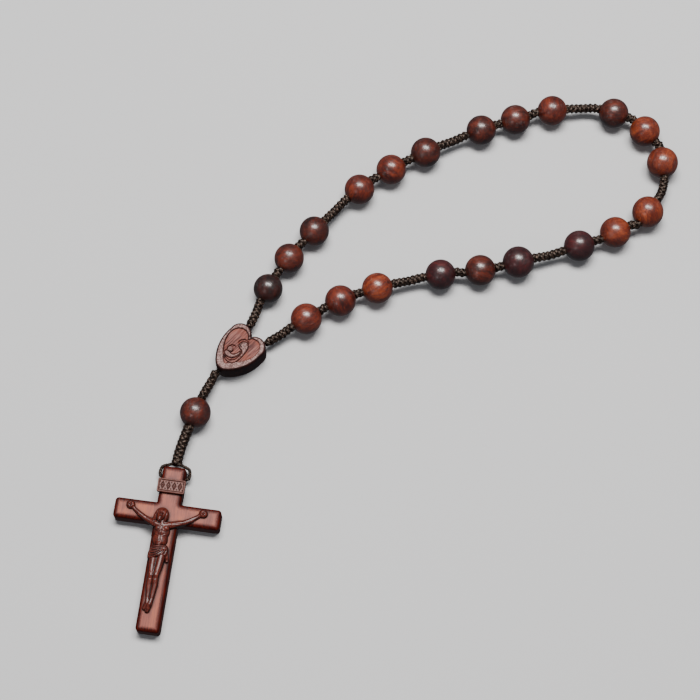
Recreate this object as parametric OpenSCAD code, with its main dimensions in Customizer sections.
// Knotted-cord rosary with wooden beads, a heart centrepiece and a crucifix, lying open and flat.
// Units are millimetres. The origin is the middle of the heart's back face, +Z points up from
// the surface that the rosary lies on, and +X and +Y lie along that surface.

/* [Beads] */
// Diameter of an average bead
bead_d = 10.3; // [9.8:0.1:10.5]
// Diameter of the hole through each bead
bead_bore_d = 1.8; // [1.6:0.05:2]
// Length of a bead along its hole, as a share of its diameter
bead_length_share = 0.97; // [0.93:0.01:0.98]

/* [Cord] */
// Diameter of the knotted stretches of the loop
knot_d = 3.2; // [2.8:0.1:3.3]
// Diameter of the thicker knotted stretch above the crucifix
end_knot_d = 3.7; // [3.2:0.1:4]
// Diameter of the round knots that turn against the heart
ball_knot_d = 3.4; // [3:0.1:3.6]
// Diameter of the cord eye that holds the crucifix
eye_d = 1.2; // [0.8:0.05:1.3]
// Free space round the core cord in every hole that it runs through
core_gap = 0.05; // [0.02:0.01:0.1]
// How far a long knotted stretch sags between two beads
knot_sag = 0.8; // [0:0.1:1.5]

/* [Heart] */
// Width across the heart's two lobes
heart_w = 14.4; // [13.5:0.1:15]
// Length from the lobes to the tip
heart_l = 17.2; // [16.6:0.1:18]
// Thickness of the heart
heart_t = 8; // [7:0.1:9]
// Width of the plain rim beside the sunk heart-shaped field
heart_rim = 1.5; // [1.2:0.1:2]

/* [Crucifix] */
// Length of the upright
cross_l = 55; // [50:0.5:60]
// Length of the crossbar
cross_w = 35; // [31:0.5:38]
// Width of the upright
upright_w = 7.8; // [7:0.1:8.2]
// Width of the crossbar
crossbar_w = 6.8; // [6:0.1:7.4]
// Thickness of both bars
bar_t = 6; // [5.5:0.1:6.5]
// Bevel along the bars' edges
bar_bevel = 0.6; // [0.3:0.05:0.9]
// Distance from the upright's top end to the cord hole
hole_below_top = 3; // [2.6:0.1:3.2]
// Diameter of the hole that the cord eye runs through
eye_hole_d = 1.7; // [1.4:0.05:1.8]
// Distance from the upright's top end to the middle of the crossbar
bar_below_top = 15.8; // [15:0.1:17]
// Width of the title plate
plate_w = 9.1; // [8.4:0.1:10]
// Height of the title plate
plate_h = 4.6; // [4.2:0.1:5.2]
// Thickness of the title plate
plate_t = 1.4; // [1:0.1:1.6]

/* [Hidden] */
// Bead centres as seen from above, in the order in which the loop strings them
LOOP_BEADS = [
    [10, 23], [17, 34], [25.5, 44],
    [41, 59.5], [52, 67], [64, 73.5],
    [83.5, 82], [95.5, 86], [108.5, 89.5],
    [130, 88.5], [140.5, 81.5], [146, 69.5],
    [140, 51], [128.5, 43.5], [116, 38.5],
    [95, 32.5], [82, 29.5], [68.5, 28],
    [47, 23], [34.5, 18.5], [23, 12]
];
// Each loop bead's diameter as a share of the average one
LOOP_SIZES = [
    0.96, 0.98, 0.98,
    1, 1, 1,
    1, 1, 1,
    1, 1.02, 1.04,
    1.04, 1.02, 1.02,
    1.04, 1.02, 1,
    1.02, 1.02, 1.02
];
// The single bead between the heart and the crucifix
PENDANT_BEAD = [-13.5, -21];
// The hinge point where the cord eye runs through the crucifix
CROSS_HINGE = [-20, -42.8];
// How far the crucifix leans from the -Y direction
cross_lean = 7.8;

bead_count = len(LOOP_BEADS);
bead_numbers = [1 : bead_count];
group_size = 3;
core_d = bead_bore_d - 2 * core_gap;
end_gap = 0.05;
cord_sides = 8;
round_fn = 64;
core_colour = [0.1, 0.08, 0.07];
knot_colour = [0.16, 0.12, 0.1];

// The heart's own frame has its tip towards -Y, and is turned so that the tip points down and left
heart_turn = -45;
heart_exit_z = heart_t / 2;
lobe_r = 0.265 * heart_w;
lobe_x = heart_w / 2 - lobe_r;
lobe_y = heart_l / 2 - lobe_r;
flank_y = 0.18 * heart_l;
tip_r = 0.25 * heart_w;
tip_y = tip_r - heart_l / 2;
// The flanks' radius at which they run smoothly into the round tip, and the height where they meet it
flank_drop = flank_y - tip_y;
flank_r = ((heart_w / 2) ^ 2 + flank_drop ^ 2 - tip_r ^ 2) / (heart_w - 2 * tip_r);
flank_end_y = flank_y - flank_r * flank_drop / (flank_r - tip_r);
ball_gap = 0.3;
ball_reach = ball_knot_d / 2 + ball_gap;
lobe_exit_x = lobe_x + 1.1;
lobe_exit_y = heart_l / 2 + ball_reach - 0.05;
tip_exit_y = -heart_l / 2 - ball_reach;
heart_middle = [0, -1.5];
channel_depth = 5;

function turned(p, a) = [p.x * cos(a) - p.y * sin(a), p.x * sin(a) + p.y * cos(a), p.z];
function unit(v) = v / norm(v);
function flat(v) = unit([v.x, v.y, 0]);

HEART_EXITS = [[-lobe_exit_x, lobe_exit_y], [lobe_exit_x, lobe_exit_y], [0, tip_exit_y]];
END_NAMES = ["cord_end_left", "cord_end_right", "cord_end_tip"];
LEFT_EXIT = turned([-lobe_exit_x, lobe_exit_y, heart_exit_z], heart_turn);
RIGHT_EXIT = turned([lobe_exit_x, lobe_exit_y, heart_exit_z], heart_turn);
TIP_EXIT = turned([0, tip_exit_y, heart_exit_z], heart_turn);

function bead_size(i) = bead_d * LOOP_SIZES[i];
function bead_centre(i) = [LOOP_BEADS[i].x, LOOP_BEADS[i].y, bead_size(i) / 2];
function half_length(d) = bead_length_share * d / 2 + end_gap;

// The loop's stops are the left exit, the beads and the right exit
STOPS = concat([LEFT_EXIT], [for (i = [0 : bead_count - 1]) bead_centre(i)], [RIGHT_EXIT]);
STOP_REACH = concat(
    [ball_reach - ball_gap],
    [for (i = [0 : bead_count - 1]) half_length(bead_size(i))],
    [ball_reach - ball_gap]
);
last_stop = len(STOPS) - 1;
function heading(k) =
    k == 0 ? unit(STOPS[1] - STOPS[0])
    : k == last_stop ? unit(STOPS[k] - STOPS[k - 1])
    : flat(unit(STOPS[k + 1] - STOPS[k]) + unit(STOPS[k] - STOPS[k - 1]));
// A gap is long where it parts two groups of beads or meets the heart
function is_long(gap) = gap % group_size == 0;

// Points and directions along a smooth stretch between two held ends
function bump(u) = (1 - cos(360 * u)) / 2;
function stretch_point(a, ta, b, tb, u, sag) =
    let (reach = norm(b - a))
    (2 * u ^ 3 - 3 * u ^ 2 + 1) * a + (u ^ 3 - 2 * u ^ 2 + u) * reach * ta
    + (3 * u ^ 2 - 2 * u ^ 3) * b + (u ^ 3 - u ^ 2) * reach * tb
    - [0, 0, sag * bump(u)];
function stretch_points(a, ta, b, tb, steps, sag) =
    [for (k = [0 : steps]) stretch_point(a, ta, b, tb, k / steps, sag)];
function stretch_headings(points, ta, tb) =
    let (last = len(points) - 1)
    [for (k = [0 : last])
        k == 0 ? ta : k == last ? tb : unit(points[k + 1] - points[k - 1])];

long_steps = 3;
short_steps = 1;
function gap_points(gap) =
    let (ta = heading(gap), tb = heading(gap + 1))
    stretch_points(
        STOPS[gap] + STOP_REACH[gap] * ta, ta,
        STOPS[gap + 1] - STOP_REACH[gap + 1] * tb, tb,
        is_long(gap) ? long_steps : short_steps, is_long(gap) ? knot_sag : 0);
function gap_headings(gap) = stretch_headings(gap_points(gap), heading(gap), heading(gap + 1));

// The pendant runs from the heart's tip through its bead to the eye
pendant_centre = [PENDANT_BEAD.x, PENDANT_BEAD.y, bead_d / 2];
eye_tie_y = 4.2;
eye_tie_z = 3.4;
function on_cross(p) = turned([p.x, p.y, 0], -cross_lean) + [CROSS_HINGE.x, CROSS_HINGE.y, p.z];
knot_end = on_cross([0, eye_tie_y, eye_tie_z]);
pendant_start_heading = unit(pendant_centre - TIP_EXIT);
pendant_heading = flat(unit(pendant_centre - TIP_EXIT) + unit(knot_end - pendant_centre));
pendant_end_heading = turned([0, -1, 0], -cross_lean);
pendant_steps = 3;
UPPER_POINTS = stretch_points(
    TIP_EXIT + (ball_reach - ball_gap + end_gap) * pendant_start_heading, pendant_start_heading,
    pendant_centre - half_length(bead_d) * pendant_heading, pendant_heading,
    pendant_steps, 0);
UPPER_HEADINGS = stretch_headings(UPPER_POINTS, pendant_start_heading, pendant_heading);
LOWER_POINTS = stretch_points(
    pendant_centre + half_length(bead_d) * pendant_heading, pendant_heading,
    knot_end, pendant_end_heading, pendant_steps, 0);
LOWER_HEADINGS = stretch_headings(LOWER_POINTS, pendant_heading, pendant_end_heading);

// The eye's route in the crucifix's own frame, round its top end and through the hole
EYE_ROUTE = [
    [-0.7, 5.1, 3.5], [-1.8, 4.3, 3.4], [-3.4, 3.8, 3.2], [-4.5, 3.2, 3.1], [-4.9, 2, 3], [-4.9, 1, 3],
    [-4.6, 0.3, 3], [-4, 0, 3], [4, 0, 3], [4.6, 0.3, 3],
    [4.9, 1, 3], [4.9, 2, 3], [4.5, 3.2, 3.1], [3.4, 3.8, 3.2], [1.8, 4.3, 3.4], [0.7, 5.1, 3.5]
];

// Swept tubes
function ring(c, n, r) =
    let (s = unit(cross([0, 0, 1], n)), u = cross(n, s))
    [for (k = [0 : cord_sides - 1])
        let (a = 360 * k / cord_sides)
        c + r * (cos(a) * s + sin(a) * u)];
// Two triangles for each side between ring a and ring b, which start at those point numbers
function band(a, b) =
    [for (k = [0 : cord_sides - 1])
        let (n = (k + 1) % cord_sides)
        each [[a + k, b + k, b + n], [a + k, b + n, a + n]]];
function disc(a) = [for (k = [0 : cord_sides - 1]) a + k];
function backwards(list) = [for (k = [len(list) - 1 : -1 : 0]) list[k]];

module tube(points, headings, d) {
    last = len(points) - 1;
    corners = [for (k = [0 : last]) each ring(points[k], headings[k], d / 2)];
    sides = [for (k = [0 : last - 1]) each band(k * cord_sides, (k + 1) * cord_sides)];
    polyhedron(corners, concat(sides, [disc(0)], [backwards(disc(last * cord_sides))]), convexity = 10);
}

module sleeve(points, headings, d, hole_d) {
    last = len(points) - 1;
    outer = [for (k = [0 : last]) each ring(points[k], headings[k], d / 2)];
    inner = [for (k = [0 : last]) each ring(points[k], headings[k], hole_d / 2)];
    first_inner = len(outer);
    outer_sides = [for (k = [0 : last - 1]) each band(k * cord_sides, (k + 1) * cord_sides)];
    inner_sides = [for (k = [0 : last - 1])
        each band(first_inner + (k + 1) * cord_sides, first_inner + k * cord_sides)];
    ends = concat(band(first_inner, 0), band(last * cord_sides, first_inner + last * cord_sides));
    polyhedron(concat(outer, inner), concat(outer_sides, inner_sides, ends), convexity = 10);
}

// A sleeve whose first end is closed by a round knot of ball_knot_d, centred just before points[0]
ball_angles = [22.5, 45, 67.5, 90];
module ball_sleeve(points, headings, d, hole_d) {
    ball_r = ball_knot_d / 2;
    n = headings[0];
    centre = points[0] - ball_r * n;
    last = len(points) - 1;
    ball = [for (a = ball_angles) each ring(centre - ball_r * cos(a) * n, n, ball_r * sin(a))];
    outer = concat(ball, [for (k = [0 : last]) each ring(points[k], headings[k], d / 2)]);
    inner = [for (k = [0 : last]) each ring(points[k], headings[k], hole_d / 2)];
    first_inner = len(outer);
    last_outer = first_inner - cord_sides;
    outer_sides = [for (k = [0 : cord_sides : last_outer - 1]) each band(k, k + cord_sides)];
    inner_sides = [for (k = [0 : last - 1])
        each band(first_inner + (k + 1) * cord_sides, first_inner + k * cord_sides)];
    ends = concat([disc(0)], [backwards(disc(first_inner))], band(last_outer, first_inner + last * cord_sides));
    polyhedron(concat(outer, inner), concat(outer_sides, inner_sides, ends), convexity = 10);
}

// Beads
module turned_bead(d) {
    half_l = bead_length_share * d / 2;
    rotate([0, 90, 0]) rotate_extrude($fn = round_fn) intersection() {
        circle(d = d, $fn = round_fn);
        translate([bead_bore_d / 2, -half_l]) square([d, 2 * half_l]);
    }
}

module loop_bead(number) {
    t = heading(number);
    color("saddlebrown")
        translate(STOPS[number]) rotate([0, 0, atan2(t.y, t.x)]) turned_bead(bead_size(number - 1));
}

module pendant_bead() {
    t = pendant_heading;
    color("saddlebrown")
        translate(pendant_centre) rotate([0, 0, atan2(t.y, t.x)]) turned_bead(bead_d);
}

// Knotted stretches and cords
module loop_knot(gap) {
    points = gap_points(gap);
    headings = gap_headings(gap);
    color(knot_colour)
        if (gap == 0) ball_sleeve(points, headings, knot_d, bead_bore_d);
        else if (gap == bead_count) ball_sleeve(backwards(points), -backwards(headings), knot_d, bead_bore_d);
        else sleeve(points, headings, knot_d, bead_bore_d);
}

module cord_loop() {
    first = gap_points(0)[0] + end_gap * heading(0);
    final = gap_points(bead_count)[long_steps] - end_gap * heading(last_stop);
    points = [for (gap = [0 : bead_count]) each gap_points(gap)];
    headings = [for (gap = [0 : bead_count]) each gap_headings(gap)];
    last = len(points) - 1;
    clear = [for (k = [0 : last]) k == 0 ? first : k == last ? final : points[k]];
    color(core_colour) tube(clear, headings, core_d);
}

module tip_knot() {
    color(knot_colour) translate(TIP_EXIT) sphere(d = ball_knot_d, $fn = round_fn);
}

module pendant_knot_upper() {
    color(knot_colour) sleeve(UPPER_POINTS, UPPER_HEADINGS, knot_d, bead_bore_d);
}

module pendant_knot_lower() {
    color(knot_colour) sleeve(LOWER_POINTS, LOWER_HEADINGS, end_knot_d, bead_bore_d);
}

module cord_pendant() {
    stop = pendant_steps - 1;
    lower = [for (k = [0 : stop]) LOWER_POINTS[k]];
    lower_headings = [for (k = [0 : stop]) LOWER_HEADINGS[k]];
    color(core_colour)
        tube(concat(UPPER_POINTS, lower), concat(UPPER_HEADINGS, lower_headings), core_d);
}

module cord_eye() {
    points = [for (p = EYE_ROUTE) on_cross(p)];
    last = len(points) - 1;
    color(core_colour)
        tube(points, stretch_headings(points, pendant_end_heading, -pendant_end_heading), eye_d);
}

// A level rod from one of the heart's exits towards its middle. It starts at the given distance
// inside the round knot's centre and reaches the blind end of its channel.
module heart_rod(k, d, start) {
    from = HEART_EXITS[k];
    v = heart_middle - from;
    translate([from.x, from.y, heart_exit_z]) rotate([0, 90, atan2(v.y, v.x)])
        translate([0, 0, start]) cylinder(h = ball_reach + channel_depth - start, d = d, $fn = round_fn);
}

module cord_end(k) {
    color(core_colour) rotate([0, 0, heart_turn]) heart_rod(k, core_d, ball_knot_d / 2 + end_gap);
}

// Heart
module lobed_outline(half_w, lobe_radius, lobe_height, side_radius, side_height, bottom) {
    for (side = [-1, 1]) translate([side * (half_w - lobe_radius), lobe_height])
        circle(r = lobe_radius, $fn = round_fn);
    intersection() {
        translate([half_w - side_radius, side_height]) circle(r = side_radius, $fn = 2 * round_fn);
        translate([side_radius - half_w, side_height]) circle(r = side_radius, $fn = 2 * round_fn);
        translate([-half_w, bottom]) square([2 * half_w, lobe_height - bottom]);
    }
}

module heart_outline() {
    lobed_outline(heart_w / 2, lobe_r, lobe_y, flank_r, flank_y, flank_end_y);
    translate([0, tip_y]) circle(r = tip_r, $fn = round_fn);
}

// The sunk field has a pointed tip, where its two sides cross
field_lobe_r = 0.21 * heart_w;
field_lobe_y = 0.22 * heart_l;
field_flank_r = 0.705 * heart_w;

module field_outline() {
    lobed_outline(heart_w / 2 - heart_rim, field_lobe_r, field_lobe_y, field_flank_r, flank_y, -heart_l / 2);
}

field_depth = 0.5;
curl_w = 1.1;
curl_h = 0.4;
VEIL_CENTRE = [-0.7, -0.3];
veil_r = 3.6;
veil_side = -5;
ARM_CENTRE = [-0.6, -1.2];
arm_r = 2.1;
arm_side = -60;
// The two plain round heads of the motif: [x, y, radius]
ROUND_HEADS = [[0.2, 2.5, 1.4], [-1.9, -1.2, 0.9]];

// A raised stroke in the field, along the half of a circle that lies towards the given direction
module curl(centre, r, direction) {
    translate([centre.x, centre.y, heart_t - field_depth]) rotate([0, 0, direction])
        linear_extrude(curl_h) difference() {
            circle(r = r + curl_w / 2, $fn = round_fn);
            circle(r = r - curl_w / 2, $fn = round_fn);
            translate([-4 * r, -2 * r]) square(4 * r);
        }
}

module heart() {
    color("rosybrown") rotate([0, 0, heart_turn]) {
        difference() {
            linear_extrude(heart_t) heart_outline();
            translate([0, 0, heart_t - field_depth]) linear_extrude(heart_t) field_outline();
            for (k = [0 : len(HEART_EXITS) - 1]) heart_rod(k, bead_bore_d, 0);
        }
        curl(VEIL_CENTRE, veil_r, veil_side);
        curl(ARM_CENTRE, arm_r, arm_side);
        for (head = ROUND_HEADS) translate([head.x, head.y, heart_t - field_depth])
            cylinder(h = curl_h, r = head.z, $fn = round_fn);
    }
}

// Crucifix, in its own frame: the origin is under the cord hole, +Y is its top end
module on_cross_frame() {
    translate([CROSS_HINGE.x, CROSS_HINGE.y, 0]) rotate([0, 0, -cross_lean]) children();
}

module bevelled_face(w, t, bevel) {
    polygon([
        [-w / 2, bevel], [bevel - w / 2, 0], [w / 2 - bevel, 0], [w / 2, bevel],
        [w / 2, t - bevel], [w / 2 - bevel, t], [bevel - w / 2, t], [-w / 2, t - bevel]
    ]);
}

// A block with a bevel along all its edges, from z = 0 up, centred on x and y
module bevelled_block(w, l, t, bevel) {
    intersection() {
        rotate([90, 0, 0]) linear_extrude(l, center = true) bevelled_face(w, t, bevel);
        rotate([90, 0, 90]) linear_extrude(w, center = true) bevelled_face(l, t, bevel);
    }
}

module cross_body() {
    top = hole_below_top;
    color("indianred") on_cross_frame() difference() {
        union() {
            translate([0, top - cross_l / 2, 0]) bevelled_block(upright_w, cross_l, bar_t, bar_bevel);
            translate([0, top - bar_below_top, 0]) bevelled_block(cross_w, crossbar_w, bar_t, bar_bevel);
        }
        translate([0, 0, bar_t / 2]) rotate([0, 90, 0])
            cylinder(h = 2 * upright_w, d = eye_hole_d, center = true, $fn = round_fn);
    }
}

plate_below_hole = 3.9;
plate_bevel = 0.35;
// The plate's plain lozenge-shaped marks
mark_count = 4;
mark_sides = 4;
mark_r = 0.8;
mark_pitch = 1.9;
mark_depth = 0.3;

module title_plate() {
    color("rosybrown") on_cross_frame() translate([0, -plate_below_hole, bar_t]) difference() {
        bevelled_block(plate_w, plate_h, plate_t, plate_bevel);
        for (k = [0 : mark_count - 1])
            translate([(k - (mark_count - 1) / 2) * mark_pitch, 0, plate_t - mark_depth])
                cylinder(h = plate_t, r = mark_r, $fn = mark_sides);
    }
}

// The figure's joints, in the crucifix's frame with z measured from the front face: [x, y, z, radius]
HEAD = [-1.4, -14.6, 1.7, 1.3];
CROWN = [-1.6, -13.4, 1.5, 2.2];
NECK = [-1, -16.3, 1, 1];
CHEST = [-0.7, -18.9, 0.9, 2.3];
WAIST = [-0.8, -22.8, 0.6, 1.9];
HIPS = [-0.8, -25.6, 0.8, 2.3];
CLOTH = [-0.9, -27.6, 0.8, 2.3];
FEET = [-0.8, -43.8, 0.9, 1];
TOES = [-1, -45.2, 0.6, 0.9];
shoulder = [2.9, -16.2, 0.8, 1];
elbow = [6.6, -14.6, 0.5, 0.8];
wrist = [10.5, -12.6, 0.5, 0.6];
hand = [12, -11.6, 0.5, 1.1];
knee = [0.9, -33.9, 1.5, 1.15];
ankle = [0.8, -42, 0.8, 0.75];
body_middle = -0.9;
leg_middle = -0.7;
limb_fn = 16;

module limb(a, b) {
    hull() for (p = [a, b]) translate([p.x, p.y, p.z]) sphere(r = p[3], $fn = limb_fn);
}

function on_side(p, side, middle) = [middle + side * p.x, p.y, p.z, p[3]];

module corpus() {
    color("brown") on_cross_frame() translate([0, 0, bar_t]) intersection() {
        union() {
            limb(HEAD, CROWN);
            limb(HEAD, NECK);
            limb(NECK, CHEST);
            limb(CHEST, WAIST);
            limb(WAIST, HIPS);
            limb(HIPS, CLOTH);
            limb(FEET, TOES);
            for (side = [-1, 1]) {
                limb(NECK, on_side(shoulder, side, body_middle));
                limb(on_side(shoulder, side, body_middle), on_side(elbow, side, 0));
                limb(on_side(elbow, side, 0), on_side(wrist, side, 0));
                limb(on_side(wrist, side, 0), on_side(hand, side, 0));
                limb(CLOTH, on_side(knee, side, leg_middle));
                limb(on_side(knee, side, leg_middle), on_side(ankle, side, leg_middle));
                limb(on_side(ankle, side, leg_middle), FEET);
            }
        }
        translate([0, -cross_l / 2, cross_l]) cube(2 * cross_l, center = true);
    }
}

// Node names
SHORT_GAPS = [for (gap = [1 : bead_count - 1]) if (!is_long(gap)) gap];
LONG_GAPS = [for (gap = [0 : bead_count]) if (is_long(gap)) gap];
function knot_name(gap) =
    gap == 0 ? "knot_heart_left"
    : gap == bead_count ? "knot_heart_right"
    : str(is_long(gap) ? "knot_long_" : "knot_short_", gap);

heart();
for (k = [0 : len(END_NAMES) - 1]) cord_end(k);
cord_loop();
for (number = bead_numbers) loop_bead(number);
for (gap = [0 : bead_count]) loop_knot(gap);
tip_knot();
pendant_knot_upper();
pendant_bead();  // bead_pendant
pendant_knot_lower();
cord_pendant();
cord_eye();
cross_body();  // cross
title_plate();
corpus();
